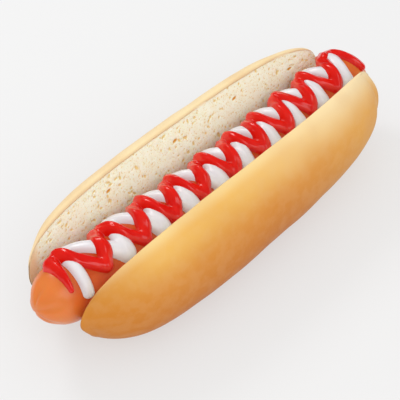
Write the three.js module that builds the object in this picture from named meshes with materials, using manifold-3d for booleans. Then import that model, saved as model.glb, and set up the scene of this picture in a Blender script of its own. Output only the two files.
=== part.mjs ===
// Hot dog: a frankfurter in a split long bun, topped with zigzags of mayonnaise and ketchup.
// Millimetres, +Z up. X runs along the sausage, whose middle is at X = 0. The near half of the
// bun is on the -Y side and the far half on the +Y side. The bun lies on Z = 0.
import * as THREE from 'three';
import { mergeVertices } from 'three/addons/utils/BufferGeometryUtils.js';
import Module from 'manifold-3d';

// Sausage
const SAUSAGE_LENGTH = 175.4;
const SAUSAGE_RADIUS = 11.5;
const SAUSAGE_HEIGHT = 21.1; // its axis above the ground, at mid length
const SAUSAGE_END_RISE = 6.3; // how far the axis curves up by the tips
const SAUSAGE_CAP = 14.8; // length of each rounded end
const PUCKER_FOLDS = 5; // creases where the casing is gathered at each tip
const PUCKER_DEPTH = 0.16; // share of the local radius
const PUCKER_REACH = 5; // along the axis

// Bun
const BUN_LENGTH = 156;
const BUN_OFFSET = 1.5; // its middle, toward +X of the sausage's middle
const BUN_HALF_WIDTH = 31.5;
const BUN_BULGE_HEIGHT = 20.8; // where it is widest
const BUN_BASE_SINK = 0.8; // how much of the round underside is pressed flat
const BUN_BASE_SQUARENESS = 2.56; // 2 is an ellipse, more is boxier
const SHOULDER_RISE = 0.55; // of the height left, straight up from the bulge
const LIP_ROLL = 0.62; // of the width left, square out from the cut face
const LIP_HEIGHT = 44.2;
const CUT_LEAN = 16.2; // degrees, each cut face outward from vertical
const CRUMB_GAP = 0.3; // sausage to crumb
const PLAN_POWER = 2.88;
const PLAN_ROOT = 2.82;
// Each half is shaped a little otherwise at each end. Heights and half width are those at the very
// end, round is the length over which the crust closes, lift is how much higher the lip is there
// before it drops, and leanIn how much nearer the sausage. Reach is how much longer the half is
// midway up, and setback how much shorter at the lip.
const BUN_ENDS = {
  near: {
    left: {
      lipHeight: 32.4, halfWidth: 8.1, baseHeight: 8.8, round: 20.4, lipPower: 3.07, lipRoot: 2.67,
      lift: 0, leanIn: 0, reach: 4.2, setback: 0, setbackPower: 3,
    },
    right: {
      lipHeight: 38, halfWidth: 9.6, baseHeight: 13.9, round: 10, lipPower: 5.72, lipRoot: 4.23,
      lift: 1, leanIn: 3.5, reach: 1.2, setback: 7, setbackPower: 2.26,
    },
  },
  far: {
    left: {
      lipHeight: 29.6, halfWidth: 11.7, baseHeight: 11, round: 15.3, lipPower: 3.07, lipRoot: 2.67,
      lift: 0, leanIn: 0, reach: 2.9, setback: 1, setbackPower: 3.76,
    },
    right: {
      lipHeight: 31.7, halfWidth: 11.7, baseHeight: 11, round: 15.3, lipPower: 3.84, lipRoot: 2.31,
      lift: -1.8, leanIn: 0, reach: 0, setback: 5.6, setbackPower: 2.83,
    },
  },
};
const LIFT_POWER = 2;
const LEAN_IN_POWER = 3.25;
const REACH_HEIGHT = 24.2;
const REACH_SPREAD = 8.1;
const HINGE_SETBACK = 7; // how much shorter the bun is under the sausage
const HINGE_HALF_WIDTH = 13;
const HINGE_BASE_HEIGHT = 8.5; // the underside below the trough, at the very ends
const END_BOW = 4; // how much shorter the bun is at its lips and base than half way up
const END_BOW_POWER = 8; // how near the ends that sets in
const END_POWER = 2.2;
const NEAR_FULLNESS = 0.047; // the near half is fuller toward -X
const NEAR_BULGE_RISE = 2; // and widest higher up toward +X

// Sauces, as piped strokes between turns on the far and the near side of the sausage
const MAYONNAISE = {
  halfWidth: 2.9,
  halfHeight: 2.2,
  lift: 0.5, // middle of the stroke above the sausage's skin
  far: { angle: -46, first: -69.7, pitch: 14.65, settle: 14, sway: 1.3, beat: 1.6, phase: -0.1 },
  near: { angle: 42, first: -52.1, pitch: 14.6, settle: 5.5, sway: 0.4, beat: 2.6, phase: 0.1 },
  nearTurns: 9,
  farTurns: 9,
  start: { x: -72.3, angle: 64 },
  end: { x: 74.8, angle: -15 },
};
const KETCHUP = {
  halfWidth: 2.5,
  halfHeight: 2.5,
  lift: 1.2,
  far: { angle: -31, first: -75.3, pitch: 15.15, settle: 12.4, sway: 0.5, beat: 2.8, phase: 1.3 },
  near: { angle: 43, first: -62.3, pitch: 15.1, settle: 6.9, sway: 1, beat: 1.4, phase: 0.8 },
  nearTurns: 9,
  farTurns: 10,
  start: { x: -77.8, angle: 44 },
  end: { x: 81.7, angle: 46 },
};
const SETTLE_TURNS = 1.4; // the first turns lie further apart, and this many turns even them out

// Facets
const BUN_STATIONS = 34;
const BUN_HALF_STEPS = 12;
const SAUSAGE_STATIONS = 34;
const SAUSAGE_SIDES = 20;
const STROKE_SIDES = 6;
const STROKE_STEPS = 3;
const ROUNDED = Math.SQRT1_2; // one row part way round a stroke's end
const FINEST = 0.02; // points closer than this are one point

const radians = THREE.MathUtils.degToRad;

// Rows of points joined into one closed skin. Each row is a ring with the same number of points,
// or a single point where the skin closes.
function skin(rows) {
  const positions = rows.flat().flatMap((point) => point.toArray());
  const starts = [];
  let count = 0;
  for (const row of rows) {
    starts.push(count);
    count += row.length;
  }
  const index = [];
  for (let r = 0; r + 1 < rows.length; r += 1) {
    const sides = Math.max(rows[r].length, rows[r + 1].length);
    for (let i = 0; i < sides; i += 1) {
      const next = (i + 1) % sides;
      const a = starts[r] + (rows[r].length > 1 ? i : 0);
      const b = starts[r] + (rows[r].length > 1 ? next : 0);
      const c = starts[r + 1] + (rows[r + 1].length > 1 ? next : 0);
      const d = starts[r + 1] + (rows[r + 1].length > 1 ? i : 0);
      if (a !== b) index.push(a, b, c);
      if (c !== d) index.push(a, c, d);
    }
  }
  const geometry = new THREE.BufferGeometry();
  geometry.setAttribute('position', new THREE.Float32BufferAttribute(positions, 3));
  geometry.setIndex(index);
  return mergeVertices(geometry, 1e-4);
}

// 1 at mid length, falling to 0 at the ends
function swell(station, power, root) {
  return Math.max(1 - Math.abs(station) ** power, 0) ** (1 / root);
}

function bunEnd(station, near) {
  const half = near ? BUN_ENDS.near : BUN_ENDS.far;
  return station > 0 ? half.right : half.left;
}

// One half of the bun's section at a station from -1 to 1 along its length. Points are [across, up]:
// the crust from the underside's middle to the lip, and the crumb from the trough to the lip.
function halfSection(station, near) {
  const end = bunEnd(station, near);
  const plan = swell(station, PLAN_POWER, PLAN_ROOT);
  const lip = swell(station, end.lipPower, end.lipRoot);
  const lifted = LIP_HEIGHT + end.lift * Math.abs(station) ** LIFT_POWER;
  const lipHeight = THREE.MathUtils.lerp(end.lipHeight, lifted, lip);
  const fullness = near ? 1 - NEAR_FULLNESS * station : 1;
  const bulge = THREE.MathUtils.lerp(end.halfWidth, BUN_HALF_WIDTH, plan) * fullness;
  const bulgeHeight = BUN_BULGE_HEIGHT + (near ? NEAR_BULGE_RISE * station : 0);
  const base = THREE.MathUtils.lerp(end.baseHeight, -BUN_BASE_SINK, plan);
  const hingeBase = THREE.MathUtils.lerp(HINGE_BASE_HEIGHT, -BUN_BASE_SINK, plan);

  const lean = radians(CUT_LEAN);
  const trough = SAUSAGE_RADIUS + CRUMB_GAP;
  const alongCut = new THREE.Vector2(Math.sin(lean), Math.cos(lean));
  const outOfCut = new THREE.Vector2(Math.cos(lean), -Math.sin(lean));
  const cutStart = new THREE.Vector2(0, SAUSAGE_HEIGHT).addScaledVector(outOfCut, trough);
  const lipEdge = cutStart.clone().addScaledVector(alongCut, (lipHeight - cutStart.y) / alongCut.y);

  const widest = new THREE.Vector2(Math.max(bulge, lipEdge.x + 1), bulgeHeight);
  const shoulder = new THREE.CubicBezierCurve(
    widest,
    new THREE.Vector2(widest.x, THREE.MathUtils.lerp(bulgeHeight, lipHeight, SHOULDER_RISE)),
    lipEdge.clone().addScaledVector(outOfCut, (widest.x - lipEdge.x) * LIP_ROLL),
    lipEdge,
  );

  const crust = [];
  const crumb = [];
  const half = BUN_HALF_STEPS / 2;
  for (let i = 0; i <= BUN_HALF_STEPS; i += 1) {
    if (i < half) {
      const turn = (i / half) * (Math.PI / 2);
      const across = widest.x * Math.sin(turn) ** (2 / BUN_BASE_SQUARENESS);
      const lowest = THREE.MathUtils.lerp(hingeBase, base, Math.sin(turn) ** 2);
      const up = widest.y - (widest.y - lowest) * Math.cos(turn) ** (2 / BUN_BASE_SQUARENESS);
      crust.push(new THREE.Vector2(across, up));
      const sweep = (i / half) * (Math.PI / 2 - lean);
      crumb.push(new THREE.Vector2(trough * Math.sin(sweep), SAUSAGE_HEIGHT - trough * Math.cos(sweep)));
    } else {
      const along = (i - half) / half;
      crust.push(shoulder.getPoint(along));
      crumb.push(cutStart.clone().lerp(lipEdge, along));
    }
  }
  return { crust, crumb };
}

// The crust turns in round each end until it meets the crumb half way through the wall
function closeEnd(section, station, near) {
  const toEnd = (BUN_LENGTH / 2) * (1 - Math.abs(station));
  const shortfall = Math.max(1 - toEnd / bunEnd(station, near).round, 0);
  const open = swell(shortfall, END_POWER, END_POWER);
  for (let i = 0; i < section.crust.length; i += 1) {
    const middle = section.crust[i].clone().lerp(section.crumb[i], 0.5);
    section.crust[i].lerp(middle, 1 - open);
    section.crumb[i].lerp(middle, 1 - open);
  }
  return section;
}

// A point of the section in space. The ends are drawn in, most at the hinge, the lips and the base.
function bunPoint(station, near, point) {
  const end = bunEnd(station, near);
  const offMiddle = (2 * point.y) / LIP_HEIGHT - 1;
  const rise = THREE.MathUtils.inverseLerp(BUN_BULGE_HEIGHT, LIP_HEIGHT, point.y);
  const aboveBulge = THREE.MathUtils.clamp(rise, 0, 1);
  const inHinge = Math.max(1 - (point.x / HINGE_HALF_WIDTH) ** 2, 0);
  const reached = Math.exp(-(((point.y - REACH_HEIGHT) / REACH_SPREAD) ** 2));
  const bow = END_BOW * offMiddle ** 2 + HINGE_SETBACK * inHinge - end.reach * reached;
  const setback = end.setback * aboveBulge ** 2;
  const away = Math.abs(station);
  const drawnIn = bow * away ** END_BOW_POWER + setback * away ** end.setbackPower;
  const across = point.x - end.leanIn * away ** LEAN_IN_POWER * aboveBulge ** 1.5;
  return new THREE.Vector3(
    BUN_OFFSET + station * (BUN_LENGTH / 2) - Math.sign(station) * drawnIn,
    near ? -across : across,
    Math.max(point.y, 0),
  );
}

// Both halves with the hinge that joins them under the trough, as one solid
function bunGeometry() {
  const rings = [];
  for (let j = 0; j <= BUN_STATIONS; j += 1) {
    const station = -Math.cos((j / BUN_STATIONS) * Math.PI);
    const near = closeEnd(halfSection(station, true), station, true);
    const far = closeEnd(halfSection(station, false), station, false);
    const onNear = (point) => bunPoint(station, true, point);
    const onFar = (point) => bunPoint(station, false, point);
    rings.push([
      ...near.crust.toReversed().map(onNear),
      ...far.crust.slice(1).map(onFar),
      ...far.crumb.slice(1, -1).reverse().map(onFar),
      ...near.crumb.slice(0, -1).map(onNear),
    ]);
  }
  return skin(rings);
}

// A point beside the sausage's curved axis: angle in degrees from the top toward the near side
function beside(x, angle, distance) {
  const share = x / (SAUSAGE_LENGTH / 2);
  const slope = (2 * SAUSAGE_END_RISE * share) / (SAUSAGE_LENGTH / 2);
  const up = new THREE.Vector3(-slope, 0, 1).normalize();
  const turn = radians(angle);
  return new THREE.Vector3(x, 0, SAUSAGE_HEIGHT + SAUSAGE_END_RISE * share * share)
    .addScaledVector(up, distance * Math.cos(turn))
    .add(new THREE.Vector3(0, -distance * Math.sin(turn), 0));
}

function sausageRadius(x, angle) {
  const toTip = SAUSAGE_LENGTH / 2 - Math.abs(x);
  const cap = Math.min(toTip / SAUSAGE_CAP, 1);
  const crease = (1 + Math.cos(PUCKER_FOLDS * radians(angle))) / 2;
  const pucker = PUCKER_DEPTH * crease * Math.max(1 - toTip / PUCKER_REACH, 0);
  return SAUSAGE_RADIUS * Math.sqrt(1 - (1 - cap) ** 2) * (1 - pucker);
}

function sausageGeometry() {
  const rows = [];
  for (let j = 0; j <= SAUSAGE_STATIONS; j += 1) {
    const x = (-Math.cos((j / SAUSAGE_STATIONS) * Math.PI) * SAUSAGE_LENGTH) / 2;
    const ring = [];
    const sides = j === 0 || j === SAUSAGE_STATIONS ? 1 : SAUSAGE_SIDES;
    for (let i = 0; i < sides; i += 1) {
      const angle = (360 * i) / SAUSAGE_SIDES;
      ring.push(beside(x, angle, sausageRadius(x, angle)));
    }
    rows.push(ring);
  }
  return skin(rows);
}

function turnPlace(row, k) {
  const evened = row.settle * (1 - Math.exp(-k / SETTLE_TURNS));
  const swayed = row.sway * Math.sin(row.beat * k + row.phase);
  return { x: row.first + row.pitch * k + evened + swayed, angle: row.angle };
}

// One piped stroke from turn to turn: a bead with round ends, sunk a little into the skin
function strokeGeometry(sauce, from, to) {
  const centre = (share, lift) => {
    const x = THREE.MathUtils.lerp(from.x, to.x, share);
    const angle = THREE.MathUtils.lerp(from.angle, to.angle, share);
    return beside(x, angle, sausageRadius(x, angle) + lift);
  };
  const overrun = sauce.halfWidth / centre(0, 0).distanceTo(centre(1, 0));
  const stops = [{ share: -overrun, size: 0 }, { share: -overrun * ROUNDED, size: ROUNDED }];
  for (let i = 0; i <= STROKE_STEPS; i += 1) {
    stops.push({ share: i / STROKE_STEPS, size: 1 });
  }
  stops.push({ share: 1 + overrun * ROUNDED, size: ROUNDED }, { share: 1 + overrun, size: 0 });
  const rows = stops.map(({ share, size }) => {
    const middle = centre(share, sauce.lift);
    if (size === 0) return [middle];
    const along = centre(share + 0.01, sauce.lift).sub(centre(share - 0.01, sauce.lift)).normalize();
    const out = centre(share, sauce.lift + 1).sub(middle);
    const across = new THREE.Vector3().crossVectors(out, along).normalize();
    const ring = [];
    for (let i = 0; i < STROKE_SIDES; i += 1) {
      const turn = (2 * Math.PI * i) / STROKE_SIDES;
      ring.push(middle.clone()
        .addScaledVector(across, sauce.halfWidth * size * Math.cos(turn))
        .addScaledVector(out, sauce.halfHeight * size * Math.sin(turn)));
    }
    return ring;
  });
  return skin(rows);
}

// The turns of one sauce in the order in which they are piped
function zigzagTurns(sauce) {
  const turns = [];
  for (let k = 0; k < Math.max(sauce.nearTurns, sauce.farTurns); k += 1) {
    const near = k < sauce.nearTurns ? [turnPlace(sauce.near, k)] : [];
    const far = k < sauce.farTurns ? [turnPlace(sauce.far, k)] : [];
    turns.push(...near, ...far);
  }
  turns.sort((one, other) => one.x - other.x);
  if (sauce.start) turns.unshift(sauce.start);
  if (sauce.end) turns.push(sauce.end);
  return turns;
}

const wasm = await Module();
wasm.setup();

function toSolid(geometry) {
  return new wasm.Manifold(new wasm.Mesh({
    numProp: 3,
    vertProperties: new Float32Array(geometry.attributes.position.array),
    triVerts: new Uint32Array(geometry.index.array),
  }));
}

function toGeometry(solid) {
  const mesh = solid.getMesh();
  const geometry = new THREE.BufferGeometry();
  geometry.setAttribute('position', new THREE.Float32BufferAttribute(mesh.vertProperties, 3));
  geometry.setIndex(new THREE.Uint32BufferAttribute(mesh.triVerts, 1));
  const merged = mergeVertices(geometry, FINEST);
  const corners = merged.index.array;
  const kept = [];
  for (let i = 0; i < corners.length; i += 3) {
    const [a, b, c] = corners.slice(i, i + 3);
    if (a !== b && b !== c && c !== a) kept.push(a, b, c);
  }
  merged.setIndex(kept);
  return merged;
}

// The sausage with both sauces fused to it. Any space that they close off is filled.
function toppedSausageGeometry() {
  let solid = toSolid(sausageGeometry());
  for (const sauce of [MAYONNAISE, KETCHUP]) {
    const turns = zigzagTurns(sauce);
    for (let i = 0; i + 1 < turns.length; i += 1) {
      solid = solid.add(toSolid(strokeGeometry(sauce, turns[i], turns[i + 1])));
    }
  }
  const [outermost] = solid.decompose().sort((one, other) => other.volume() - one.volume());
  return toGeometry(outermost);
}

function piece(name, geometry, color, roughness) {
  const mesh = new THREE.Mesh(geometry, new THREE.MeshStandardMaterial({ color, roughness, metalness: 0 }));
  mesh.name = name;
  return mesh;
}

const hotDog = new THREE.Group();
hotDog.add(piece('bun', bunGeometry(), '#e0a154', 0.6));
hotDog.add(piece('sausage', toppedSausageGeometry(), '#d2622b', 0.4));

export default hotDog;
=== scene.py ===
# Hot dog: a frankfurter in a split long bun, topped with zigzags of mayonnaise and ketchup.
# Metres, +Z up. X runs along the sausage, whose middle is at X = 0. The near half of the bun is
# on the -Y side and the far half on the +Y side. The bun lies on Z = 0.
import math
import bmesh
import bpy
import numpy as np
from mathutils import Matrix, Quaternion, Vector, noise


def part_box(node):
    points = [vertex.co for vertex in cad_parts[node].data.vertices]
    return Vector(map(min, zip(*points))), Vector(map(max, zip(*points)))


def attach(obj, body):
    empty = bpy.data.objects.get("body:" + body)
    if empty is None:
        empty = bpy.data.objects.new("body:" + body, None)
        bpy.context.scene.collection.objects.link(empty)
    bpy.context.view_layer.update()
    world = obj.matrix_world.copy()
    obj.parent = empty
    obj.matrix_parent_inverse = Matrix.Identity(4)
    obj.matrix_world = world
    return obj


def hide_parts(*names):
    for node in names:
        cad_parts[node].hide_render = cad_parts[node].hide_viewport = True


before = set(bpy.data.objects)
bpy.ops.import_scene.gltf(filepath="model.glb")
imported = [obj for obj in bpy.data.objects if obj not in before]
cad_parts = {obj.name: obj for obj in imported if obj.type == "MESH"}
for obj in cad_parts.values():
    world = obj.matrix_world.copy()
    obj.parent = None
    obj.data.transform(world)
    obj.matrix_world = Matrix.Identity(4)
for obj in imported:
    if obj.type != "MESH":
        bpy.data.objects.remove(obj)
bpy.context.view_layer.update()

# Camera
# It looks down on the hot dog over the near half of the bun, from the sausage's left end.
CAMERA_PLACE = Vector((-0.19899, -0.21985, 0.30249))
CAMERA_AIM = Vector((-0.00841, -0.00036, 0.02043))
CAMERA_ROLL = math.radians(-6.57)
CAMERA_LENS = 95.77  # in millimetres, as Blender counts it

camera = bpy.data.objects.new("camera", bpy.data.cameras.new("camera"))
bpy.context.scene.collection.objects.link(camera)
bpy.context.scene.camera = camera
camera.data.lens = CAMERA_LENS
camera.location = CAMERA_PLACE
camera.rotation_mode = "QUATERNION"
toward = (CAMERA_AIM - CAMERA_PLACE).to_track_quat("-Z", "Y")
camera.rotation_quaternion = toward @ Quaternion((0, 0, 1), CAMERA_ROLL)

# Bun crust
# The thin baked skin of a long soft bun, brushed before baking. It wraps the underside, the
# shoulders and the rounded ends of both halves, and turns over the two lips where the knife went
# in. It is browner low down and at the near half's left end, and pale at the lips. Toward the
# right and over the far half it is paler, partly from its bake and partly a painted highlight.
BUN_LENGTH = 0.156
BUN_OFFSET = 0.0015
BUN_HALF_WIDTH = 0.0315
BUN_BULGE_HEIGHT = 0.0208
BUN_BASE_SINK = 0.0008
BUN_BASE_SQUARENESS = 2.56
SHOULDER_RISE = 0.55
LIP_ROLL = 0.62
LIP_HEIGHT = 0.0442
LIP_RADIUS = 0.0011
CUT_LEAN = math.radians(16.2)
PLAN_POWER = 2.88
PLAN_ROOT = 2.82
LEAST_OVERHANG = 0.001
# The four ends differ a little. Heights and widths are those at the tip, and "round" is the length
# over which the end rounds off. "lift" raises the lip toward the end, "lean_in" leans the shoulder
# over the cut, "reach" pushes the end out at middle height and "setback" draws its top back.
BUN_ENDS = {
    "near left": {
        "lip_height": 0.0324, "half_width": 0.0081, "base_height": 0.0088, "round": 0.0204,
        "lip_power": 3.07, "lip_root": 2.67, "lift": 0, "lean_in": 0, "reach": 0.0042,
        "setback": 0, "setback_power": 3,
    },
    "near right": {
        "lip_height": 0.038, "half_width": 0.0096, "base_height": 0.0139, "round": 0.01,
        "lip_power": 5.72, "lip_root": 4.23, "lift": 0.001, "lean_in": 0.0035, "reach": 0.0012,
        "setback": 0.007, "setback_power": 2.26,
    },
    "far left": {
        "lip_height": 0.0296, "half_width": 0.0117, "base_height": 0.011, "round": 0.0153,
        "lip_power": 3.07, "lip_root": 2.67, "lift": 0, "lean_in": 0, "reach": 0.0029,
        "setback": 0.001, "setback_power": 3.76,
    },
    "far right": {
        "lip_height": 0.0317, "half_width": 0.0117, "base_height": 0.011, "round": 0.0153,
        "lip_power": 3.84, "lip_root": 2.31, "lift": -0.0018, "lean_in": 0, "reach": 0,
        "setback": 0.0056, "setback_power": 2.83,
    },
}
LIFT_POWER = 2
LEAN_IN_POWER = 3.25
LEAN_IN_RISE = 1.5
REACH_HEIGHT = 0.0242
REACH_SPREAD = 0.0081
HINGE_SETBACK = 0.007
HINGE_HALF_WIDTH = 0.013
HINGE_BASE_HEIGHT = 0.0085
END_BOW = 0.004
END_BOW_POWER = 8
END_SPACING = 0.0153
END_POWER = 2.2
NEAR_FULLNESS = 0.047
NEAR_BULGE_RISE = 0.002
TROUGH_HEIGHT = 0.0211
TROUGH_RADIUS = 0.0118
CRUST_THICKNESS = 0.0009
CRUST_RIM = 0.0004
CRUST_THINNING = 0.009
CRUST_THINNEST = 0.02
CRUST_STEP = 0.0008
CRUST_END_STEPS = 26
CRUST_UNDER_STEPS = 30
CRUST_SHOULDER_STEPS = 42
CRUST_LIP_STEPS = 5
CRUST_SWELLS = 0.00022
CRUST_SWELL_SIZE = 0.017
CRUST_SWELL_INWARD = 0.3
CRUST_SWELL_FADE = 0.004
CRUST_LOW = (0.47, 0.14, 0.020, 1)
CRUST_MIDDLE = (0.63, 0.25, 0.042, 1)
CRUST_HIGH = (0.77, 0.44, 0.11, 1)
CRUST_LIP = (0.79, 0.57, 0.24, 1)
CRUST_PALE = (0.83, 0.68, 0.42, 1)
CRUST_RIGHT = (0.80, 0.46, 0.095, 1)
CRUST_TOASTED = (0.56, 0.19, 0.017, 1)
# From the base up, each colour takes over between two shares of the way to the lip.
CRUST_BANDS = ((CRUST_MIDDLE, 0.34, 0.66), (CRUST_HIGH, 0.6, 0.88), (CRUST_LIP, 0.88, 1))
# Where the others start and are full, along or across the bun or up it, and the most of each.
RIGHT_ALONG = (0, 0.07, 0.5)
TOASTED_ALONG = (-0.045, -0.08, 0.8)
TOASTED_ACROSS = (0.01, 0)
PALE_ALONG = (-0.02, 0.07, 0.9)
PALE_ACROSS = (0, 0.01, 0.8)
PALE_RISE = (0.58, 0.95)
FAR_LEFT_ALONG = (-0.064, -0.076, 0.7)
FAR_LEFT_ACROSS = (0.001, 0.006)
FAR_LEFT_RISE = (0.25, 0.5)
PATCH_BAND = (0.36, 0.66)


def lerp(start, end, share):
    return start + (end - start) * share


def swell(station, power, root):
    """1 in the middle of the bun, falling to 0 at stations -1 and 1, its ends."""
    return max(1 - abs(station) ** power, 0) ** (1 / root)


def bun_end(station, near):
    return BUN_ENDS[("near" if near else "far") + (" right" if station > 0 else " left")]


def half_section(station, near, outer_shares, turns, inner_shares):
    """One half's section as points across and up: crust, round the lip, and cut face with trough."""
    end = bun_end(station, near)
    plan = swell(station, PLAN_POWER, PLAN_ROOT)
    lifted = LIP_HEIGHT + end["lift"] * abs(station) ** LIFT_POWER
    lip_height = lerp(end["lip_height"], lifted, swell(station, end["lip_power"], end["lip_root"]))
    fullness = 1 - NEAR_FULLNESS * station if near else 1
    bulge = lerp(end["half_width"], BUN_HALF_WIDTH, plan) * fullness
    bulge_height = BUN_BULGE_HEIGHT + (NEAR_BULGE_RISE * station if near else 0)
    base = lerp(end["base_height"], -BUN_BASE_SINK, plan)
    hinge_base = lerp(HINGE_BASE_HEIGHT, -BUN_BASE_SINK, plan)
    along_cut = np.array((math.sin(CUT_LEAN), math.cos(CUT_LEAN)))
    out_of_cut = np.array((math.cos(CUT_LEAN), -math.sin(CUT_LEAN)))
    cut_start = np.array((0, TROUGH_HEIGHT)) + out_of_cut * TROUGH_RADIUS
    lip = cut_start + along_cut * (lip_height - cut_start[1]) / along_cut[1]
    widest = np.array((max(bulge, lip[0] + LEAST_OVERHANG), bulge_height))

    quarter = np.clip(outer_shares * 2, 0, 1) * math.pi / 2
    lowest = lerp(hinge_base, base, np.sin(quarter) ** 2)
    under = np.stack((
        widest[0] * np.sin(quarter) ** (2 / BUN_BASE_SQUARENESS),
        widest[1] - (widest[1] - lowest) * np.cos(quarter) ** (2 / BUN_BASE_SQUARENESS),
    ), axis=1)
    knots = (
        widest,
        np.array((widest[0], lerp(bulge_height, lip_height, SHOULDER_RISE))),
        lip + out_of_cut * (widest[0] - lip[0]) * LIP_ROLL,
        lip + out_of_cut * LIP_RADIUS,
    )
    rise = np.clip(outer_shares * 2 - 1, 0, 1)[:, None]
    shoulder = sum(
        math.comb(3, k) * rise ** k * (1 - rise) ** (3 - k) * knot for k, knot in enumerate(knots)
    )
    outer = np.where(outer_shares[:, None] < 0.5, under, shoulder)

    centre = lip + (out_of_cut - along_cut) * LIP_RADIUS
    round_lip = centre + LIP_RADIUS * (
        np.cos(turns)[:, None] * along_cut - np.sin(turns)[:, None] * out_of_cut
    )

    sweep = np.clip(inner_shares * 2, 0, 1) * (math.pi / 2 - CUT_LEAN)
    trough = np.stack((
        TROUGH_RADIUS * np.sin(sweep), TROUGH_HEIGHT - TROUGH_RADIUS * np.cos(sweep),
    ), axis=1)
    climb = np.clip(inner_shares * 2 - 1, 0, 1)[:, None]
    cut = lerp(cut_start, lip - along_cut * LIP_RADIUS, climb)
    inner = np.where(inner_shares[:, None] < 0.5, trough, cut)
    return outer, round_lip, inner


def closed_half(station, near, outer_shares, turns, inner_shares):
    """The same section, with crust and cut face drawn together as the bun's end rounds off."""
    to_end = BUN_LENGTH / 2 * (1 - abs(station))
    shortfall = max(1 - to_end / bun_end(station, near)["round"], 0)
    spread = swell(shortfall, END_POWER, END_POWER)
    outer, round_lip, inner = half_section(station, near, outer_shares, turns, inner_shares)
    _, _, facing = half_section(station, near, outer_shares, turns, outer_shares)
    opposite, _, _ = half_section(station, near, inner_shares, turns, inner_shares)
    outer_middle = (outer + facing) / 2
    inner_middle = (inner + opposite) / 2
    round_middle = outer_middle[-1]
    return (
        lerp(outer_middle, outer, spread),
        lerp(round_middle, round_lip, spread),
        lerp(inner_middle, inner, spread),
    )


def bun_point(station, side, section):
    """Section points at one station as places in space, with the bun's rounded ends."""
    end = bun_end(station, side < 0)
    across, up = section[:, 0], section[:, 1]
    off_middle = 2 * up / LIP_HEIGHT - 1
    above_bulge = np.clip((up - BUN_BULGE_HEIGHT) / (LIP_HEIGHT - BUN_BULGE_HEIGHT), 0, 1)
    in_hinge = np.clip(1 - (across / HINGE_HALF_WIDTH) ** 2, 0, 1)
    reached = np.exp(-((up - REACH_HEIGHT) / REACH_SPREAD) ** 2)
    drawn_in = abs(station) ** END_BOW_POWER * (
        END_BOW * off_middle ** 2 + HINGE_SETBACK * in_hinge - end["reach"] * reached
    )
    drawn_in += end["setback"] * abs(station) ** end["setback_power"] * above_bulge ** 2
    across = across - end["lean_in"] * abs(station) ** LEAN_IN_POWER * above_bulge ** LEAN_IN_RISE
    return np.stack((
        BUN_OFFSET + station * BUN_LENGTH / 2 - np.sign(station) * drawn_in,
        side * across,
        np.maximum(up, 0),
    ), axis=1)


def bun_stations(step, end_steps, shortened=0):
    """Stations from -1 to 1: evenly spaced along the bun, and closer where its ends round off."""
    turn = np.linspace(0, math.pi / 2, end_steps, endpoint=False)
    near_end = END_SPACING * (1 - np.cos(turn) ** (2 / END_POWER))
    near_end = near_end[near_end >= shortened]
    straight = BUN_LENGTH - 2 * END_SPACING
    middle = np.linspace(0, straight, round(straight / step) + 1) + END_SPACING
    distance = np.concatenate((near_end, middle, BUN_LENGTH - near_end[::-1]))
    return distance / (BUN_LENGTH / 2) - 1


def make_piece(name, points, faces, material):
    """A smoothly shaded piece of these points and faces."""
    mesh = bpy.data.meshes.new(name)
    mesh.from_pydata([tuple(point) for point in points], [], faces)
    mesh.materials.append(material)
    mesh.polygons.foreach_set("use_smooth", [True] * len(mesh.polygons))
    piece = bpy.data.objects.new(name, mesh)
    bpy.context.scene.collection.objects.link(piece)
    return piece


def paint(piece, name, values):
    """Keeps one number for each point of the mesh, for the material to read."""
    attribute = piece.data.attributes.new(name, "FLOAT", "POINT")
    attribute.data.foreach_set("value", np.asarray(values, dtype=np.float32))


def lumps(points, size, depth=2):
    """Smooth uneven values of about -1 to 1, with lumps of that size."""
    return np.array([noise.fractal(Vector(point) / size, 1.0, 2.0, depth) for point in points])


def tube_faces(ring_count, ring_size, left_out=None):
    """Faces from each ring of points to the next, but none at the points left out."""
    faces = []
    for j in range(ring_count - 1):
        row, next_row = j * ring_size, (j + 1) * ring_size
        for i in range(ring_size):
            following = (i + 1) % ring_size
            if left_out is None or not (left_out[i] or left_out[following]):
                faces.append((row + i, next_row + i, next_row + following, row + following))
    return faces


def add_node(tree, kind, inputs=(), **settings):
    node = tree.nodes.new(kind)
    for name, value in settings.items():
        setattr(node, name, value)
    for name, value in dict(inputs).items():
        if isinstance(value, bpy.types.NodeSocket):
            tree.links.new(value, node.inputs[name])
        else:
            node.inputs[name].default_value = value
    return node


def new_finish(name, **sockets):
    """A material whose shader has these sockets set. Names have _ for a space."""
    finish = bpy.data.materials.new(name)
    finish.use_nodes = True
    shader = finish.node_tree.nodes["Principled BSDF"]
    for socket, value in sockets.items():
        shader.inputs[socket.replace("_", " ")].default_value = value
    return finish, finish.node_tree, shader


def share_between(tree, value, low, high, most=1):
    """0 where value is low, most where it is high, and smooth between."""
    limits = {"Value": value, "From Min": low, "From Max": high, "To Max": most}
    node = add_node(tree, "ShaderNodeMapRange", limits, interpolation_type="SMOOTHSTEP")
    return node.outputs["Result"]


def mixed(tree, share, start, end):
    """Mixes two colours by share."""
    node = add_node(tree, "ShaderNodeMix", {0: share, 6: start, 7: end}, data_type="RGBA")
    return node.outputs[2]


def both(tree, one, other, operation="MULTIPLY"):
    """One share from two: where both are high, or with MAXIMUM where either is."""
    return add_node(tree, "ShaderNodeMath", {0: one, 1: other}, operation=operation).outputs[0]


def place_in(tree):
    """Where a surface point is on the hot dog."""
    return add_node(tree, "ShaderNodeTexCoord").outputs["Object"]


def painted(tree, name):
    return add_node(tree, "ShaderNodeAttribute", attribute_name=name).outputs["Fac"]


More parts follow.
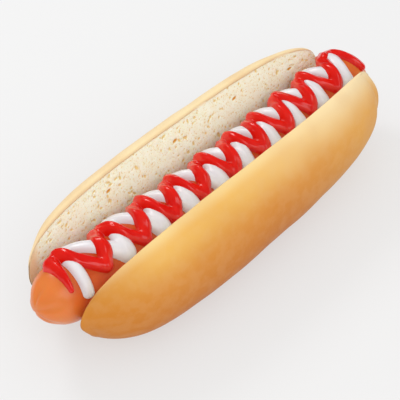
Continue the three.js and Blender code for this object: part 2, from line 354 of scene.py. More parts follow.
def new_group(name, inputs, output, kind):
    """An empty node group with inputs by name and kind, and its one output."""
    group = bpy.data.node_groups.new(name, "ShaderNodeTree")
    for socket, socket_kind in inputs.items():
        group.interface.new_socket(socket, in_out="INPUT", socket_type=socket_kind)
    group.interface.new_socket(output, in_out="OUTPUT", socket_type=kind)
    return group, group.nodes.new("NodeGroupInput").outputs, group.nodes.new("NodeGroupOutput")


uneven_colour, given, result = new_group("uneven colour", {
    "Color": "NodeSocketColor",
    "Patch Color": "NodeSocketColor",
    "Patches Per Metre": "NodeSocketFloat",
    "Amount": "NodeSocketFloat",
}, "Color", "NodeSocketColor")
patches = add_node(uneven_colour, "ShaderNodeTexNoise", {
    "Vector": place_in(uneven_colour), "Scale": given["Patches Per Metre"], "Detail": 4,
})
in_patch = share_between(uneven_colour, patches.outputs["Fac"], *PATCH_BAND)
patch_share = both(uneven_colour, in_patch, given["Amount"])
patched = mixed(uneven_colour, patch_share, given["Color"], given["Patch Color"])
uneven_colour.links.new(patched, result.inputs["Color"])

fine_relief, given, result = new_group("fine relief", {
    "Grains Per Metre": "NodeSocketFloat",
    "Softness": "NodeSocketFloat",
}, "Height", "NodeSocketFloat")
grains = add_node(fine_relief, "ShaderNodeTexNoise", {
    "Vector": place_in(fine_relief), "Scale": given["Grains Per Metre"], "Detail": 3,
})
softened = add_node(fine_relief, "ShaderNodeMix", {
    0: given["Softness"], 2: grains.outputs["Fac"], 3: 0.5,
})
fine_relief.links.new(softened.outputs[0], result.inputs["Height"])


def unevenly(tree, colour, patch_colour, patches_per_metre, amount):
    node = add_node(tree, "ShaderNodeGroup", {
        "Color": colour, "Patch Color": patch_colour,
        "Patches Per Metre": patches_per_metre, "Amount": amount,
    }, node_tree=uneven_colour)
    return node.outputs["Color"]


def relieve(tree, shader, grains_per_metre, softness, depth):
    """Gives a shader the fine relief of its surface, depth in metres."""
    height = add_node(tree, "ShaderNodeGroup", {
        "Grains Per Metre": grains_per_metre, "Softness": softness,
    }, node_tree=fine_relief).outputs["Height"]
    bump = add_node(tree, "ShaderNodeBump", {"Height": height, "Distance": depth})
    tree.links.new(bump.outputs["Normal"], shader.inputs["Normal"])


crust_finish, tree, shader = new_finish(
    "baked crust", Roughness=0.5, Specular_IOR_Level=0.14, Sheen_Weight=0.03, Sheen_Roughness=0.4,
)
rise = painted(tree, "rise")
colour = CRUST_LOW
for band_colour, start, full in CRUST_BANDS:
    colour = mixed(tree, share_between(tree, rise, start, full), colour, band_colour)
place = add_node(tree, "ShaderNodeSeparateXYZ", {"Vector": place_in(tree)})
along, across = place.outputs["X"], place.outputs["Y"]
toasted_and_pore_shade = both(
    tree, share_between(tree, along, *TOASTED_ALONG), share_between(tree, across, *TOASTED_ACROSS),
)
right_or_far = both(
    tree, share_between(tree, along, *PALE_ALONG), share_between(tree, across, *PALE_ACROSS),
    "MAXIMUM",
)
paler_and_highlit = both(tree, right_or_far, share_between(tree, rise, *PALE_RISE))
far_left = both(
    tree, share_between(tree, along, *FAR_LEFT_ALONG), share_between(tree, across, *FAR_LEFT_ACROSS),
)
# The right end is painted lighter, and the crust near the lips toward the right and over the far half
# paler: partly a paler bake, partly a painted highlight of light from the upper right.
colour = mixed(tree, share_between(tree, along, *RIGHT_ALONG), colour, CRUST_RIGHT)
colour = mixed(tree, toasted_and_pore_shade, colour, CRUST_TOASTED)
colour = mixed(tree, paler_and_highlit, colour, CRUST_PALE)
lightened = mixed(tree, share_between(tree, rise, *FAR_LEFT_RISE), colour, CRUST_PALE)
colour = mixed(tree, far_left, colour, lightened)
colour = unevenly(tree, colour, CRUST_TOASTED, patches_per_metre=60, amount=0.16)
colour = unevenly(tree, colour, CRUST_PALE, patches_per_metre=240, amount=0.06)
tree.links.new(colour, shader.inputs["Base Color"])
relieve(tree, shader, grains_per_metre=900, softness=0.2, depth=0.00006)

rim_share = 1 - CRUST_RIM / (2 * LIP_HEIGHT - 2 * TROUGH_HEIGHT)
crust_shares = np.concatenate((
    np.linspace(0, 0.5, CRUST_UNDER_STEPS, endpoint=False),
    np.linspace(0.5, 1, CRUST_SHOULDER_STEPS, endpoint=False),
    (rim_share, 1),
))
lip_turns = np.linspace(0, math.pi / 2, CRUST_LIP_STEPS + 2)[1:-1]
crust_stations = bun_stations(CRUST_STEP, CRUST_END_STEPS)
crust_rings = []
for station in crust_stations:
    ring = []
    for side in (-1, 1):
        outer, round_lip, inner = closed_half(station, side < 0, crust_shares, lip_turns, crust_shares)
        half = np.concatenate((outer, round_lip, inner[::-1]))
        ring.append(bun_point(station, side, half))
    crust_rings.append(np.concatenate((ring[0], ring[1][-2:0:-1])))
crust_points = np.array(crust_rings)
half_rises = np.concatenate((crust_shares, np.ones(len(lip_turns)), crust_shares[::-1]))
half_inside = np.arange(len(half_rises)) >= len(crust_shares) + len(lip_turns)
ring_rises = np.concatenate((half_rises, half_rises[-2:0:-1]))
ring_inside = np.concatenate((half_inside, half_inside[-2:0:-1])) & (ring_rises < rim_share)
ring_size = len(ring_rises)
to_end = BUN_LENGTH / 2 * (1 - np.abs(crust_stations))

crust_faces = tube_faces(len(crust_stations), ring_size, ring_inside)
bun_crust = make_piece("bun_crust", crust_points.reshape(-1, 3), crust_faces, crust_finish)
paint(bun_crust, "rise", np.tile(ring_rises, len(crust_stations)))
paint(bun_crust, "to end", np.repeat(to_end, ring_size))


def tidy_mesh(piece, merge=1e-6):
    """Joins points that coincide, drops loose ones and turns all faces outward."""
    work = bmesh.new()
    work.from_mesh(piece.data)
    bmesh.ops.remove_doubles(work, verts=work.verts, dist=merge)
    bmesh.ops.delete(work, geom=[v for v in work.verts if not v.link_faces], context="VERTS")
    bmesh.ops.recalc_face_normals(work, faces=work.faces)
    work.to_mesh(piece.data)
    work.free()


def displace(piece, distances):
    """Moves each point of the mesh along its normal."""
    mesh = piece.data
    normals = np.empty(len(mesh.vertices) * 3, dtype=np.float32)
    mesh.vertex_normals.foreach_get("vector", normals)
    moved = mesh_points(piece) + normals.reshape(-1, 3) * np.asarray(distances)[:, None]
    mesh.vertices.foreach_set("co", moved.astype(np.float32).ravel())
    mesh.update()


def mesh_points(piece):
    points = np.empty(len(piece.data.vertices) * 3, dtype=np.float32)
    piece.data.vertices.foreach_get("co", points)
    return points.reshape(-1, 3)


tidy_mesh(bun_crust)
crust_places = mesh_points(bun_crust)
off_base = np.clip(crust_places[:, 2] / CRUST_SWELL_FADE, 0, 1)
crust_swells = lumps(crust_places, CRUST_SWELL_SIZE) - CRUST_SWELL_INWARD
displace(bun_crust, CRUST_SWELLS * off_base * crust_swells)
crust_to_end = np.empty(len(crust_places), dtype=np.float32)
bun_crust.data.attributes["to end"].data.foreach_get("value", crust_to_end)
thinning = bun_crust.vertex_groups.new(name="thinning")
for i, distance in enumerate(crust_to_end):
    thinning.add([i], min(float(distance) / CRUST_THINNING, 1), "REPLACE")
shell = bun_crust.modifiers.new("thickness", "SOLIDIFY")
shell.thickness = CRUST_THICKNESS
shell.offset = -1
shell.vertex_group = thinning.name
shell.thickness_vertex_group = CRUST_THINNEST
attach(bun_crust, "root")
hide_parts("bun")

# Bun crumb
# The soft white bread inside the crust, one body with both halves and the hinge under the
# sausage. The knife tore its cut faces open, with hundreds of small pores and a few large ones on
# the far half, all painted darker as painted shade in the holes. The trough is pressed smooth,
# and the near half's left end is baked brown.
CRUMB_STEP = 0.00036
CRUMB_END_STEPS = 30
CRUMB_END_GAP = 0.0002
CRUMB_END_FADE = 0.006
CRUMB_END_RIM = 0.0055
CRUMB_END_BAKING = 1.6
CRUMB_LIP_RIM = 0.045
CRUMB_TIP_FADE = 0.002
CRUMB_TROUGH_STEPS = 9
CRUMB_CUT_STEPS = 72
CRUMB_BACK_EVERY = 9
CRUMB_BACK_DEPTH = 0.06
CRUMB_LIP_DEPTH = 0.35
CRUMB_LIP_SHARPNESS = 7
CRUMB_TIP_DEPTH = 0.4
CRUMB_TIP_REACH = 0.009
CRUMB_SINK = 0.00015
CRUMB_ROUGHNESS = 0.00012
CRUMB_CELL = 0.0014
CUT_LENGTH = 0.0275
CUT_SHARPNESS = 20
PORES = 900
PORE_SEED = 5
PORE_SMALLEST = 0.0002
PORE_LARGEST = 0.0007
PORE_RARENESS = 4
PORE_STRETCH = 2.2
PORE_DEPTH = 0.6
LARGE_PORE = 0.0007
LARGE_PORE_STRETCH = 1.9
LARGE_PORE_TURN = 0.2
LARGE_PORES = ((-0.0371, 0.0203), (-0.0024, 0.0205), (0.0306, 0.0206), (0.0623, 0.0186))
# The crumb colour is given a greenish cast that cancels the red light the ketchup and crust reflect
# onto it.
CRUMB_COLOUR = (0.93, 0.97, 0.79, 1)
CRUMB_PATCH = (0.88, 0.83, 0.58, 1)
PORE_SHADE_COLOUR = (0.80, 0.62, 0.27, 1)
CRUMB_SPECK = (0.80, 0.68, 0.36, 1)
CRUMB_BAKED_END = (0.66, 0.29, 0.05, 1)
LARGE_PORE_SHADE_COLOUR = (0.66, 0.30, 0.05, 1)
CRUMB_RIM = (0.87, 0.68, 0.42, 1)
SPECKS_PER_METRE = 1500
SPECK_BAND = (0.56, 0.68, 0.8)
PORE_BAND = (0.1, 0.8)
LARGE_PORE_SHADE_BAND = (0.1, 0.9)

crumb_finish, tree, shader = new_finish(
    "porous crumb", Roughness=0.85, Specular_IOR_Level=0.15, Subsurface_Weight=0.25,
    Subsurface_Scale=0.0015, Subsurface_Radius=(1, 0.8, 0.5),
)
colour = unevenly(tree, CRUMB_COLOUR, CRUMB_PATCH, patches_per_metre=420, amount=0.4)
specks = add_node(tree, "ShaderNodeTexNoise", {
    "Vector": place_in(tree), "Scale": SPECKS_PER_METRE, "Detail": 2,
}).outputs["Fac"]
in_pore_shade = share_between(tree, painted(tree, "pore"), *PORE_BAND)
in_large_pore_shade = share_between(tree, painted(tree, "toasted_and_pore_shade"), *LARGE_PORE_SHADE_BAND)
colour = mixed(tree, share_between(tree, specks, *SPECK_BAND), colour, CRUMB_SPECK)
colour = mixed(tree, share_between(tree, painted(tree, "rim"), 0, 1), colour, CRUMB_RIM)
colour = mixed(tree, share_between(tree, painted(tree, "end"), 0, 1), colour, CRUMB_BAKED_END)
# Painted shade in the holes: the pores are painted tan and the large ones dark brown.
colour = mixed(tree, in_pore_shade, colour, PORE_SHADE_COLOUR)
colour = mixed(tree, in_large_pore_shade, colour, LARGE_PORE_SHADE_COLOUR)
tree.links.new(colour, shader.inputs["Base Color"])
relieve(tree, shader, grains_per_metre=2600, softness=0, depth=0.00018)

crumb_shares = np.concatenate((
    np.linspace(0, 0.5, CRUMB_TROUGH_STEPS, endpoint=False),
    np.linspace(0.5, 1, CRUMB_CUT_STEPS + 1),
))
back_shares = crumb_shares[::CRUMB_BACK_EVERY]
toward_lip = np.clip(back_shares * CRUMB_LIP_SHARPNESS - (CRUMB_LIP_SHARPNESS - 1), 0, 1)
back_depths = CRUMB_BACK_DEPTH + CRUMB_LIP_DEPTH * toward_lip
no_turns = np.zeros(0)
crumb_stations = bun_stations(CRUMB_STEP, CRUMB_END_STEPS, CRUMB_END_GAP)
crumb_rings = []
for station in crumb_stations:
    to_tip = BUN_LENGTH / 2 * (1 - abs(station))
    sinking = lerp(back_depths, CRUMB_TIP_DEPTH, max(1 - to_tip / CRUMB_TIP_REACH, 0))[:, None]
    halves = []
    for side in (-1, 1):
        near = side < 0
        back, _, inner = closed_half(station, near, back_shares, no_turns, crumb_shares)
        sunk = lerp(back, inner[::CRUMB_BACK_EVERY], sinking)
        halves.append((bun_point(station, side, inner), bun_point(station, side, sunk)))
    (near_front, near_back), (far_front, far_back) = halves
    crumb_rings.append(np.concatenate((
        near_front[::-1], far_front[1:], far_back[::-1], near_back[1:],
    )))
crumb_points = np.array(crumb_rings)
last = len(crumb_shares) - 1
last_back = len(back_shares) - 1
ring_size = crumb_points.shape[1]
crumb_faces = tube_faces(len(crumb_stations), ring_size)
# Both ends are closed between the finer points of the cut face and the coarser ones behind it.
for row in (0, (len(crumb_stations) - 1) * ring_size):
    for k in range(last_back):
        fronts = range(k * CRUMB_BACK_EVERY, (k + 1) * CRUMB_BACK_EVERY + 1)
        far_bottom = row + 2 * last + 1 + last_back
        crumb_faces.append([row + last - i for i in fronts] + [far_bottom + k + 1, far_bottom + k])
        crumb_faces.append([row + last + i for i in fronts] + [far_bottom - k - 1, far_bottom - k])


def pore(along, up, place, size, stretch, turn):
    """How deep a pore is at each point of the cut face, as a share of its depth."""
    east = along - place[0]
    north = up - place[1]
    across = (east * math.cos(turn) + north * math.sin(turn)) / (size * stretch)
    over = (north * math.cos(turn) - east * math.sin(turn)) / size
    return np.sqrt(np.clip(1 - across ** 2 - over ** 2, 0, 1))


ring_climbs = np.concatenate((
    crumb_shares[::-1], crumb_shares[1:], np.zeros(ring_size - 2 * len(crumb_shares) + 1),
))
climbs = np.tile(np.clip(ring_climbs * 2 - 1, 0, 1), len(crumb_stations))
flat_points = crumb_points.reshape(-1, 3)
pore_depths = np.zeros(len(flat_points))
pore_shade_shares = np.zeros(len(flat_points))
large_pore_shade_shares = np.zeros(len(flat_points))
draw = np.random.RandomState(PORE_SEED)
for side in (-1, 1):
    on_cut = np.flatnonzero((climbs > 0) & (flat_points[:, 1] * side > 0))
    along = flat_points[on_cut, 0]
    up = climbs[on_cut] * CUT_LENGTH
    holes = []
    for _ in range(PORES):
        place = draw.uniform(-BUN_LENGTH / 2, BUN_LENGTH / 2), draw.uniform(0, CUT_LENGTH)
        size = lerp(PORE_SMALLEST, PORE_LARGEST, draw.uniform() ** PORE_RARENESS)
        holes.append((place, size, draw.uniform(1, PORE_STRETCH), draw.uniform(0, math.pi), False))
    # The large pores on the far half get the darkest painted shade.
    if side > 0:
        for place in LARGE_PORES:
            holes.append((place, LARGE_PORE, LARGE_PORE_STRETCH, LARGE_PORE_TURN, True))
    for place, size, stretch, turn, toasted_and_pore_shade in holes:
        share = pore(along, up, place, size, stretch, turn)
        pore_depths[on_cut] = np.maximum(pore_depths[on_cut], PORE_DEPTH * share * size)
        pore_shade_shares[on_cut] = np.maximum(pore_shade_shares[on_cut], share)
        if toasted_and_pore_shade:
            large_pore_shade_shares[on_cut] = np.maximum(large_pore_shade_shares[on_cut], share)
in_cut = np.clip(climbs * CUT_SHARPNESS, 0, 1)
roughness = CRUMB_ROUGHNESS * in_cut * lumps(flat_points, CRUMB_CELL)
to_end = np.repeat(BUN_LENGTH / 2 * (1 - np.abs(crumb_stations)), ring_size)
inside_end = np.clip(to_end / CRUMB_END_FADE, 0, 1) ** 2
inside_tip = np.clip(to_end / CRUMB_TIP_FADE, 0, 1)
at_end = np.clip(CRUMB_END_BAKING - CRUMB_END_BAKING * to_end / CRUMB_END_RIM, 0, 1)
at_left = at_end * np.repeat(crumb_stations < 0, ring_size)
at_lip = np.clip((climbs - (1 - CRUMB_LIP_RIM)) / CRUMB_LIP_RIM, 0, 1)
bun_crumb = make_piece("bun_crumb", flat_points, crumb_faces, crumb_finish)
paint(bun_crumb, "pore", pore_shade_shares)
paint(bun_crumb, "toasted_and_pore_shade", large_pore_shade_shares)
paint(bun_crumb, "rim", np.maximum(at_lip, at_left))
paint(bun_crumb, "end", at_left * (flat_points[:, 1] < 0))
tidy_mesh(bun_crumb, 0)
displace(bun_crumb, -CRUMB_SINK * inside_tip - inside_end * (pore_depths + np.abs(roughness)))
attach(bun_crumb, "root")
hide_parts("bun")

# Sausage
# A smoked frankfurter in a thin moist casing, longer than the bun and lying in its trough with
# both ends curved up. The casing is gathered into a few creases at each tip.
sausage_low, sausage_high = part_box("sausage")
SAUSAGE_LENGTH = sausage_high.x - sausage_low.x
SAUSAGE_RADIUS = 0.0115
SAUSAGE_HEIGHT = 0.0211
SAUSAGE_END_RISE = 0.0063
SAUSAGE_CAP = 0.0148
PUCKER_FOLDS = 5
PUCKER_DEPTH = 0.24
PUCKER_REACH = 0.007
PUCKER_TURN = 0.6
PUCKER_SHARPNESS = 3
SAUSAGE_STATIONS = 240
SAUSAGE_SIDES = 96
SAUSAGE_SWELLS = 0.00008
SAUSAGE_SWELL_SIZE = 0.014
SAUSAGE_SWELL_INWARD = 1
# The middle is painted a deeper red, partly the casing's own colour and partly painted red light
# reflected from the sauces. The paler tips are partly a painted highlight.
SKIN_MIDDLE_WITH_RED_REFLECTION = (0.56, 0.05, 0.001, 1)
SKIN_TIP_WITH_HIGHLIGHT = (0.70, 0.19, 0.034, 1)
SKIN_PATCH = (0.72, 0.20, 0.04, 1)
SKIN_TIP_BAND = (0.07, 0.082)


def beside(x, angle, distance):
    """Places round the sausage's curved axis, at degrees from the top toward the near side."""
    share = x / (SAUSAGE_LENGTH / 2)
    slope = 2 * SAUSAGE_END_RISE * share / (SAUSAGE_LENGTH / 2)
    steepness = np.hypot(slope, 1)
    above = distance * np.cos(np.radians(angle)) / steepness
    return np.stack((
        x - slope * above,
        -distance * np.sin(np.radians(angle)) + x * 0,
        SAUSAGE_HEIGHT + SAUSAGE_END_RISE * share ** 2 + above,
    ), axis=-1)


def sausage_radius(x, angle):
    """How thick the sausage is, with its rounded tips and the creases in them."""
    to_tip = SAUSAGE_LENGTH / 2 - np.abs(x)
    cap = np.clip(to_tip / SAUSAGE_CAP, 0, 1)
    crease = ((1 + np.cos(PUCKER_FOLDS * np.radians(angle) + PUCKER_TURN)) / 2) ** PUCKER_SHARPNESS
    pucker = PUCKER_DEPTH * crease * np.clip(1 - to_tip / PUCKER_REACH, 0, 1)
    return SAUSAGE_RADIUS * np.sqrt(1 - (1 - cap) ** 2) * (1 - pucker)


sausage_finish, tree, shader = new_finish(
    "sausage casing", Roughness=0.34, Specular_IOR_Level=0.35, Coat_Weight=0.22,
    Coat_Roughness=0.25, Subsurface_Weight=0.3, Subsurface_Scale=0.004,
    Subsurface_Radius=(1, 0.3, 0.12),
)
along = add_node(tree, "ShaderNodeSeparateXYZ", {"Vector": place_in(tree)}).outputs["X"]
off_middle = add_node(tree, "ShaderNodeMath", {0: along}, operation="ABSOLUTE").outputs[0]
colour = mixed(tree, share_between(tree, off_middle, *SKIN_TIP_BAND), SKIN_MIDDLE_WITH_RED_REFLECTION, SKIN_TIP_WITH_HIGHLIGHT)
colour = unevenly(tree, colour, SKIN_PATCH, patches_per_metre=90, amount=0.3)
tree.links.new(colour, shader.inputs["Base Color"])
relieve(tree, shader, grains_per_metre=1400, softness=0.3, depth=0.00003)

turns = np.linspace(0, math.pi, SAUSAGE_STATIONS)
ring_angles = np.arange(SAUSAGE_SIDES) * 360 / SAUSAGE_SIDES
sausage_points = []
for x in -np.cos(turns[1:-1]) * SAUSAGE_LENGTH / 2:
    sausage_points.append(beside(x, ring_angles, sausage_radius(x, ring_angles)))
tips = [beside(np.array([x]), 0, 0) for x in (-SAUSAGE_LENGTH / 2, SAUSAGE_LENGTH / 2)]
ring_count = len(sausage_points)
sausage_points = np.concatenate(sausage_points + tips)
left_tip = ring_count * SAUSAGE_SIDES
right_tip = left_tip + 1
sausage_faces = []
for i in range(SAUSAGE_SIDES):
    following = (i + 1) % SAUSAGE_SIDES
    for j in range(ring_count - 1):
        row, next_row = j * SAUSAGE_SIDES, (j + 1) * SAUSAGE_SIDES
        sausage_faces.append((row + i, row + following, next_row + following, next_row + i))
    sausage_faces.append((left_tip, following, i))
    sausage_faces.append((right_tip, next_row + i, next_row + following))
frankfurter = make_piece("frankfurter", sausage_points, sausage_faces, sausage_finish)
tidy_mesh(frankfurter, 0)
sausage_swells = lumps(sausage_points, SAUSAGE_SWELL_SIZE) - SAUSAGE_SWELL_INWARD
displace(frankfurter, SAUSAGE_SWELLS * sausage_swells)
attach(frankfurter, "root")
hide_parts("sausage")

# Mayonnaise
# A thick white sauce piped first, in one zigzag of broad soft strokes over the sausage. It
# spreads where it turns on the near side, and is drawn here as its depth over the casing.
SETTLE_TURNS = 1.4
# Each row of turns is piped at an even pitch from its first. "settle" spreads its first turns
# further apart, and "sway" and "beat" make them as uneven as a hand does. "arch" parts the two
# strokes at a far turn. "steepness" makes a stroke steep at its far turn and level at its near
# one, and the other way round where it is below zero.
MAYONNAISE = {
    "half_width": 0.0029, "depth": 0.0023, "puddle": 0.3, "streaks": 0.0003,
    "steepness": 0, "arch": 0.001, "narrowing": 0,
    "far": {"angle": -46, "first": -0.0697, "pitch": 0.01465, "settle": 0.014,
            "sway": 0.0013, "beat": 1.6, "phase": -0.1, "turns": 9, "width": 1},
    "near": {"angle": 42, "first": -0.0521, "pitch": 0.0146, "settle": 0.0055,
             "sway": 0.0004, "beat": 2.6, "phase": 0.1, "turns": 9, "width": 1},
    "start": [{"x": -0.0723, "angle": 64, "width": 0.6, "steepness": 0.5}],
    "end": [{"x": 0.0765, "angle": -20, "width": 1.1}],
}
SAUCE_SPACING = 0.00036
SAUCE_UNROLLED_RADIUS = 0.0125
SAUCE_ENDS = 0.0865
SAUCE_FAR_ANGLE = -100
SAUCE_NEAR_ANGLE = 92
SAUCE_ROOT = 0.0004
SAUCE_CLEARANCE = 0.00002
SAUCE_CORNER_PASSES = 4
STROKE_POINTS = 16
STROKE_REACH = 4
STROKE_ROUNDNESS = 0.62
STROKE_EDGE_SLOPE = 1.4
STROKE_BLEND = 0.0004
PUDDLE_POWER = 3
STREAK_LENGTH = 0.014
STREAK_WIDTH = 0.0011
STREAK_CHANGE = 3.7
CROSSING_RISE = 0.2
CROSSING_PASSES = 6
CROSSING_BLEND = 0.00025
MAYONNAISE_COLOUR = (0.71, 0.69, 0.705, 1)
MAYONNAISE_PATCH = (0.65, 0.62, 0.65, 1)

sauce_x = np.arange(-SAUCE_ENDS, SAUCE_ENDS, SAUCE_SPACING)
sauce_angle = np.arange(
    SAUCE_FAR_ANGLE, SAUCE_NEAR_ANGLE, math.degrees(SAUCE_SPACING / SAUCE_UNROLLED_RADIUS),
)
sheet_x, sheet_angle = np.meshgrid(sauce_x, sauce_angle, indexing="ij")
sheet_y = SAUCE_UNROLLED_RADIUS * np.radians(sheet_angle)


def zigzag_turns(sauce):
    """The turns of one sauce in the order in which they are piped."""
    turns = []
    for row in (sauce["far"], sauce["near"]):
        for k in range(row["turns"]):
            evened = row["settle"] * (1 - math.exp(-k / SETTLE_TURNS))
            swayed = row["sway"] * math.sin(row["beat"] * k + row["phase"])
            x = row["first"] + row["pitch"] * k + evened + swayed
            turns.append({
                "x": x, "angle": row["angle"], "width": row["width"] - sauce["narrowing"] * k,
                "steepness": sauce["steepness"],
            })
    return sauce["start"] + sorted(turns, key=lambda turn: turn["x"]) + sauce["end"]


def stroke_depth(sauce, far, near, key):
    """How deep one stroke is all over the unrolled casing, below zero beside it."""
    share = np.linspace(0, 1, STROKE_POINTS)
    steep = np.sin(share * math.pi / 2)
    arched = 1 - np.cos(share * math.pi / 2)
    bend = lerp(share, steep if near["steepness"] > 0 else arched, abs(near["steepness"]))
    beside_turn = math.copysign(sauce["arch"], near["x"] - far["x"])
    path_x = lerp(far["x"] + beside_turn, near["x"], share)
    path_y = SAUCE_UNROLLED_RADIUS * np.radians(lerp(far["angle"], near["angle"], bend))
    reach = STROKE_REACH * sauce["half_width"]
    rows = slice(
        np.searchsorted(sauce_x, path_x.min() - reach), np.searchsorted(sauce_x, path_x.max() + reach),
    )
    x, y = sheet_x[rows], sheet_y[rows]
    nearest = np.full(x.shape, 1.0)
    progress = np.zeros(x.shape)
    offset = np.zeros(x.shape)
    for i in range(STROKE_POINTS - 1):
        step_x, step_y = path_x[i + 1] - path_x[i], path_y[i + 1] - path_y[i]
        length = math.hypot(step_x, step_y)
        part = ((x - path_x[i]) * step_x + (y - path_y[i]) * step_y) / length ** 2
        part = np.clip(part, 0, 1)
        away = np.hypot(x - path_x[i] - part * step_x, y - path_y[i] - part * step_y)
        side = ((x - path_x[i]) * step_y - (y - path_y[i]) * step_x) / length
        closer = away < nearest
        nearest = np.where(closer, away, nearest)
        progress = np.where(closer, (i + part) / (STROKE_POINTS - 1), progress)
        offset = np.where(closer, side, offset)
    puddled = 1 + sauce["puddle"] * progress ** PUDDLE_POWER
    widths = lerp(far["width"], near["width"], progress) * puddled
    across = nearest / (sauce["half_width"] * widths)
    rounded = np.clip(1 - across ** 2, 0, 1) ** STROKE_ROUNDNESS
    dome = np.where(across < 1, rounded, (1 - across) * STROKE_EDGE_SLOPE)
    stroke_length = np.hypot(np.diff(path_x), np.diff(path_y)).sum()
    grain = np.stack((
        progress * stroke_length / STREAK_LENGTH,
        offset / STREAK_WIDTH,
        np.full(x.shape, key * STREAK_CHANGE),
    ), axis=-1).reshape(-1, 3)
    streaks = np.array([noise.noise(Vector(place)) for place in grain]).reshape(x.shape)
    depth = np.full(sheet_x.shape, -1.0)
    depth[rows] = sauce["depth"] * widths ** 0.5 * dome
    depth[rows] += sauce["streaks"] * streaks * np.clip(dome, 0, 1)
    return depth


def soft_max(one, other, softness):
    """The higher of two depths, with a fillet where they meet."""
    overlap = np.clip(softness - np.abs(one - other), 0, None)
    return np.maximum(one, other) + overlap ** 2 / (4 * softness)


def softened_sheet(sheet, passes):
    """The same depths, each evened out with those beside it."""
    for _ in range(passes):
        for axis in (0, 1):
            ahead = np.roll(sheet, 1, axis)
            behind = np.roll(sheet, -1, axis)
            sheet = (ahead + 2 * sheet + behind) / 4
    return sheet


def sauce_depth(sauce):
    """The depth of a whole zigzag. Strokes that come back toward the far side lie on the others."""
    turns = zigzag_turns(sauce)
    lower = np.full(sheet_x.shape, -1.0)
    upper = np.full(sheet_x.shape, -1.0)
    for i in range(len(turns) - 1):
        far, near = sorted(turns[i:i + 2], key=lambda turn: turn["angle"])
        stroke = stroke_depth(sauce, far, near, i)
        if turns[i] is far:
            lower = soft_max(lower, stroke, STROKE_BLEND)
        else:
            upper = soft_max(upper, stroke, STROKE_BLEND)
    raised = upper + CROSSING_RISE * np.clip(softened_sheet(lower, CROSSING_PASSES), 0, None)
    return softened_sheet(soft_max(lower, raised, CROSSING_BLEND), 1)


def sauce_piece(name, depth, below, finish):
    """A closed layer of sauce: its top, its underside just below what it lies on, and its edge."""
    wet = depth > -SAUCE_ROOT
    cells = wet[:-1, :-1] | wet[1:, :-1] | wet[:-1, 1:] | wet[1:, 1:]
    # Where two cells touch at one corner only, a third joins them.
    for _ in range(SAUCE_CORNER_PASSES):
        block = cells[:-1, :-1] & cells[1:, 1:] & ~cells[1:, :-1] & ~cells[:-1, 1:]
        cross = ~cells[:-1, :-1] & ~cells[1:, 1:] & cells[1:, :-1] & cells[:-1, 1:]
        cells[1:, :-1] |= block
        cells[:-1, :-1] |= cross
    skin = sausage_radius(sheet_x, sheet_angle) + below
    top = beside(sheet_x, sheet_angle, skin + np.maximum(depth, -SAUCE_ROOT)).reshape(-1, 3)
    bottom = beside(sheet_x, sheet_angle, skin - SAUCE_ROOT - SAUCE_CLEARANCE).reshape(-1, 3)
    rows, columns = cells.shape
    width = columns + 1
    count = len(top)
    faces = []
    for i, k in np.argwhere(cells):
        first, next_first = i * width + k, (i + 1) * width + k
        corners = (first, next_first, next_first + 1, first + 1)
        faces.append(corners)
        faces.append([count + corner for corner in reversed(corners)])
        for edge, step in enumerate(((0, -1), (1, 0), (0, 1), (-1, 0))):
            start, end = corners[edge], corners[(edge + 1) % 4]
            beyond = i + step[0], k + step[1]
            outside = not (0 <= beyond[0] < rows and 0 <= beyond[1] < columns)
            if outside or not cells[beyond]:
                faces.append((end, start, count + start, count + end))
    piece = make_piece(name, np.concatenate((top, bottom)), faces, finish)
    tidy_mesh(piece, 0)
    return piece


mayonnaise_finish, tree, shader = new_finish(
    "mayonnaise", Roughness=0.3, Specular_IOR_Level=0.4, Coat_Weight=0.2, Coat_Roughness=0.15,
    Subsurface_Weight=0.35, Subsurface_Scale=0.002, Subsurface_Radius=(1, 0.95, 0.85),
)
colour = unevenly(tree, MAYONNAISE_COLOUR, MAYONNAISE_PATCH, patches_per_metre=150, amount=0.4)
tree.links.new(colour, shader.inputs["Base Color"])
relieve(tree, shader, grains_per_metre=500, softness=0.2, depth=0.00008)

mayonnaise_depth = sauce_depth(MAYONNAISE)
mayonnaise = sauce_piece("mayonnaise", mayonnaise_depth, 0, mayonnaise_finish)
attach(mayonnaise, "root")
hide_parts("sausage")

# Ketchup
# A wet red sauce piped last, over the mayonnaise and into the gaps that it leaves. Its strokes
# are narrower and lie higher, steep where they leave a far turn and level at the near one. Its
# edges hug what they lie on, and its middle bridges the hollows between mayonnaise strokes.
KETCHUP = {
    "half_width": 0.0024, "depth": 0.0022, "puddle": 0.1, "streaks": 0.0006,
    "steepness": 0.4, "arch": 0.0015, "narrowing": 0.015,
    "far": {"angle": -28, "first": -0.0753, "pitch": 0.01505, "settle": 0.0124,
            "sway": 0.0005, "beat": 2.8, "phase": 1.3, "turns": 10, "width": 1.15},
    "near": {"angle": 42, "first": -0.0623, "pitch": 0.0151, "settle": 0.0069,
             "sway": 0.001, "beat": 1.4, "phase": 0.8, "turns": 9, "width": 0.97},
    "start": [{"x": -0.0775, "angle": 46, "width": 0.3, "steepness": 0}],
    "end": [{"x": 0.0765, "angle": -44, "width": 1.3, "steepness": 0},
            {"x": 0.0822, "angle": 46, "width": 0.9, "steepness": -0.3}],
}
KETCHUP_SETTLING = 0.85
KETCHUP_LIFT = 0.0003
KETCHUP_BRIDGING = 16
KETCHUP_EDGE = 0.0007
KETCHUP_COLOUR = (0.64, 0.004, 0.001, 1)
KETCHUP_PATCH = (0.72, 0.012, 0.003, 1)

ketchup_finish, tree, shader = new_finish(
    "ketchup", Roughness=0.3, Specular_IOR_Level=0.25, Coat_Weight=0.55, Coat_Roughness=0.08,
    Subsurface_Weight=0.2, Subsurface_Scale=0.001, Subsurface_Radius=(1, 0.1, 0.05),
)
colour = unevenly(tree, KETCHUP_COLOUR, KETCHUP_PATCH, patches_per_metre=160, amount=0.5)
tree.links.new(colour, shader.inputs["Base Color"])
relieve(tree, shader, grains_per_metre=420, softness=0.2, depth=0.0001)

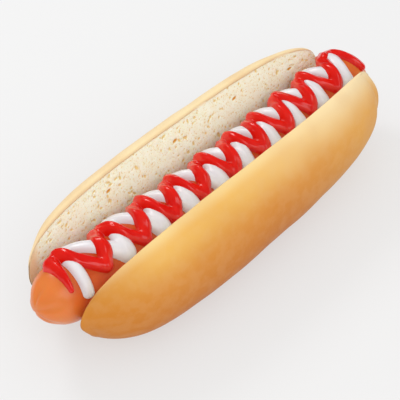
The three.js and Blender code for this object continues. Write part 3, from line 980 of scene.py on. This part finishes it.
ketchup_depth = sauce_depth(KETCHUP)
touched = np.clip(mayonnaise_depth, 0, None)
bridged = KETCHUP_LIFT + softened_sheet(KETCHUP_SETTLING * touched, KETCHUP_BRIDGING)
ketchup_rest = lerp(touched, bridged, np.clip(ketchup_depth / KETCHUP_EDGE, 0, 1))
ketchup = sauce_piece("ketchup", ketchup_depth, ketchup_rest, ketchup_finish)
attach(ketchup, "root")
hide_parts("sausage")

# Floor and light
# A plain pale floor, a bright even sky that glossy surfaces don't mirror, a broad lamp in front
# that reaches into the cut face, and a smaller lamp behind for the highlights along the sauces.
FLOOR_HALF = 2
FLOOR_COLOUR = (0.3, 0.3, 0.3, 1)
FLOOR_GLOW = 0.52
SKY_COLOUR = (1, 1, 1, 1)
SKY_STRENGTH = 0.95
LAMPS = {
    "front lamp": {"place": (-0.2, -0.5, 0.5), "size": 0.5, "power": 1.3},
    "back lamp": {"place": (0.02, 0.42, 0.5), "size": 0.22, "power": 1},
}

floor_finish, tree, shader = new_finish("floor", Roughness=1, Specular_IOR_Level=0)
shader.inputs["Base Color"].default_value = FLOOR_COLOUR
shader.inputs["Emission Color"].default_value = SKY_COLOUR
shader.inputs["Emission Strength"].default_value = FLOOR_GLOW
corners = [(x * FLOOR_HALF, y * FLOOR_HALF, 0) for x, y in ((-1, -1), (1, -1), (1, 1), (-1, 1))]
floor = make_piece("floor", corners, [(0, 1, 2, 3)], floor_finish)

sky = bpy.data.worlds.new("sky")
sky.use_nodes = True
sky.node_tree.nodes["Background"].inputs["Color"].default_value = SKY_COLOUR
sky.node_tree.nodes["Background"].inputs["Strength"].default_value = SKY_STRENGTH
sky.cycles_visibility.glossy = False
bpy.context.scene.world = sky
for name, shape in LAMPS.items():
    lamp = bpy.data.objects.new(name, bpy.data.lights.new(name, "AREA"))
    lamp.data.shape = "DISK"
    lamp.data.size = shape["size"]
    lamp.data.energy = shape["power"]
    lamp.location = shape["place"]
    lamp.rotation_mode = "QUATERNION"
    lamp.rotation_quaternion = (-lamp.location).to_track_quat("-Z", "Y")
    bpy.context.scene.collection.objects.link(lamp)
bpy.context.scene.view_settings.view_transform = "Standard"
